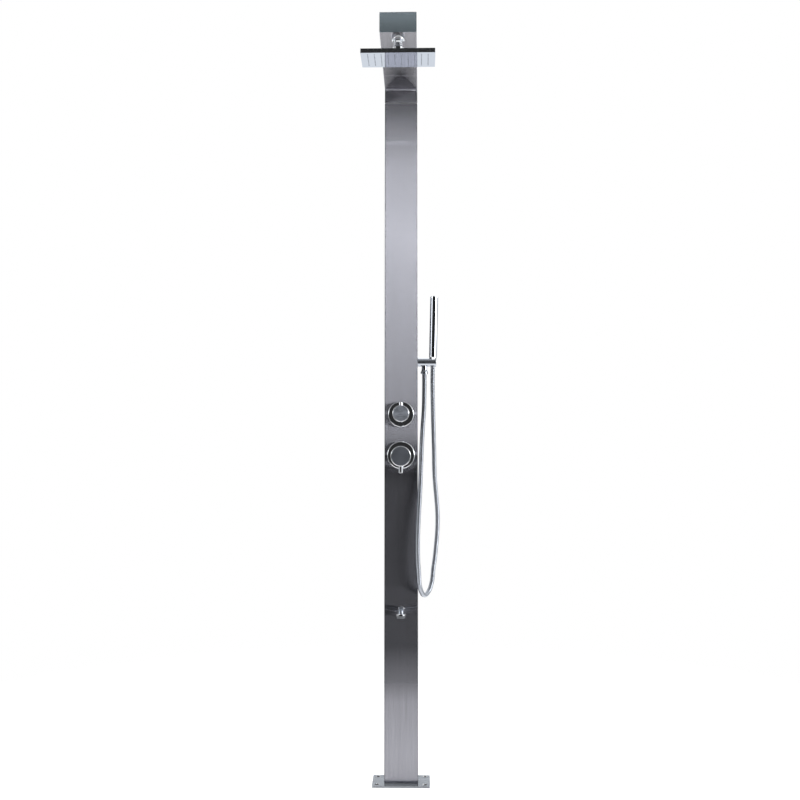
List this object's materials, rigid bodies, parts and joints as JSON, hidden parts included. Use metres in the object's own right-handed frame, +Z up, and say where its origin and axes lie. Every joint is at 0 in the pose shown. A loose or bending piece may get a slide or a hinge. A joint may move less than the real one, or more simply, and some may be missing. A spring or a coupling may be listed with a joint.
{
  "type": "outdoor shower post",
  "caption": "Free-standing brushed stainless outdoor shower post with a flat overhead shower, mixer, diverter, hand shower on a metal hose and a foot spout.",
  "frame": {"origin": "centre of the base plate's underside, where the post stands on the ground", "axes": "+Z up, the front with the two controls and the overhead arm faces -Y, +X is on the hand shower's side"},
  "size_m": [0.2175, 0.5038, 2.152],
  "materials": {
    "brushed_stainless": "satin",
    "chrome": "polished",
    "plain_steel": "satin",
    "brass": "satin",
    "white_plastic": "matte",
    "grey_plastic": "matte",
    "black_rubber": "matte",
    "grey_silicone": "matte",
    "braided_hose": "satin",
    "metal_hose": "polished"
  },
  "bodies": {
    "post": {"base_plate": "brushed_stainless", "foot_socket": "brushed_stainless", "foot_screws": "plain_steel", "inlet_bracket": "brushed_stainless", "inlet_nipples": "brass", "lock_nuts": "brass", "column_shell": "brushed_stainless", "corner_bend": "brushed_stainless", "arm_shell": "brushed_stainless", "arm_end_cap": "brushed_stainless", "rear_access_panel": "brushed_stainless", "panel_screws": "plain_steel", "cold_supply_hose": "braided_hose", "hot_supply_hose": "braided_hose", "hose_ferrules": "plain_steel", "mixed_water_pipe": "brass", "riser_pipe": "white_plastic", "handset_feed_hose": "braided_hose", "foot_feed_hose": "braided_hose", "valve_gaskets": "black_rubber", "mixer_body": "brass", "mixer_cartridge": "white_plastic", "cartridge_ring": "brass", "mixer_nut": "brass", "mixer_escutcheon": "chrome", "mixer_sleeve": "chrome", "diverter_body": "brass", "diverter_cartridge": "white_plastic", "diverter_nut": "brass", "diverter_escutcheon": "chrome", "head_union": "chrome", "ball_stem": "chrome", "holder_bar": "chrome", "feed_elbow": "brass", "outlet_nipple": "chrome", "hose_lower_nut": "chrome", "shower_hose": "metal_hose", "spout_pipe": "chrome", "spout_rosette": "chrome", "spout_nozzle": "chrome"},
    "diverter_knob": {"diverter_knob": "chrome", "diverter_pin": "chrome", "diverter_stem": "plain_steel", "diverter_grub_screw": "plain_steel"},
    "mixer_swivel": {"mixer_spindle": "plain_steel", "mixer_cross_pin": "plain_steel"},
    "mixer_handle": {"mixer_stem": "plain_steel", "mixer_handle": "chrome", "mixer_lever": "chrome", "mixer_grub_screw": "plain_steel"},
    "ball_seat_inner": {"ball_seat_inner": "white_plastic"},
    "ball_seat_outer": {"ball_seat_outer": "black_rubber"},
    "overhead_shower": {"head_collar": "chrome", "head_top_shell": "chrome", "head_face_plate": "chrome", "nozzle_mat": "grey_silicone"},
    "hand_shower": {"handset_hose_nut": "chrome", "handset_body": "chrome", "handset_cap": "chrome", "handset_spray_insert": "grey_plastic"}
  },
  "joints": [
    {"name": "diverter_turn", "type": "hinge", "parent": "post", "child": "diverter_knob", "pos_m": [0, -0.0275, 1.091], "axis": [0, -1, 0], "range_deg": [-90, 90]},
    {"name": "mixer_temperature", "type": "hinge", "parent": "post", "child": "mixer_swivel", "pos_m": [0, -0.0275, 0.968], "axis": [0, -1, 0], "range_deg": [-45, 45]},
    {"name": "mixer_flow", "type": "hinge", "parent": "mixer_swivel", "child": "mixer_handle", "pos_m": [0, -0.0435, 0.968], "axis": [-1, 0, 0], "range_deg": [0, 18]},
    {"name": "head_tilt", "type": "hinge", "parent": "post", "child": "ball_seat_inner", "pos_m": [0, -0.3895, 2.0615], "axis": [1, 0, 0], "range_deg": [-12, 12]},
    {"name": "head_roll", "type": "hinge", "parent": "ball_seat_inner", "child": "ball_seat_outer", "pos_m": [0, -0.3895, 2.0615], "axis": [0, 1, 0], "range_deg": [-12, 12]},
    {"name": "head_spin", "type": "hinge", "parent": "ball_seat_outer", "child": "overhead_shower", "pos_m": [0, -0.3895, 2.0615], "axis": [0, -0.0349, 0.9994], "continuous": true},
    {"name": "handset_lift", "type": "slide", "parent": "post", "child": "hand_shower", "axis": [0.0227, 0, 0.9997], "range_m": [0, 0.0235]}
  ]
}
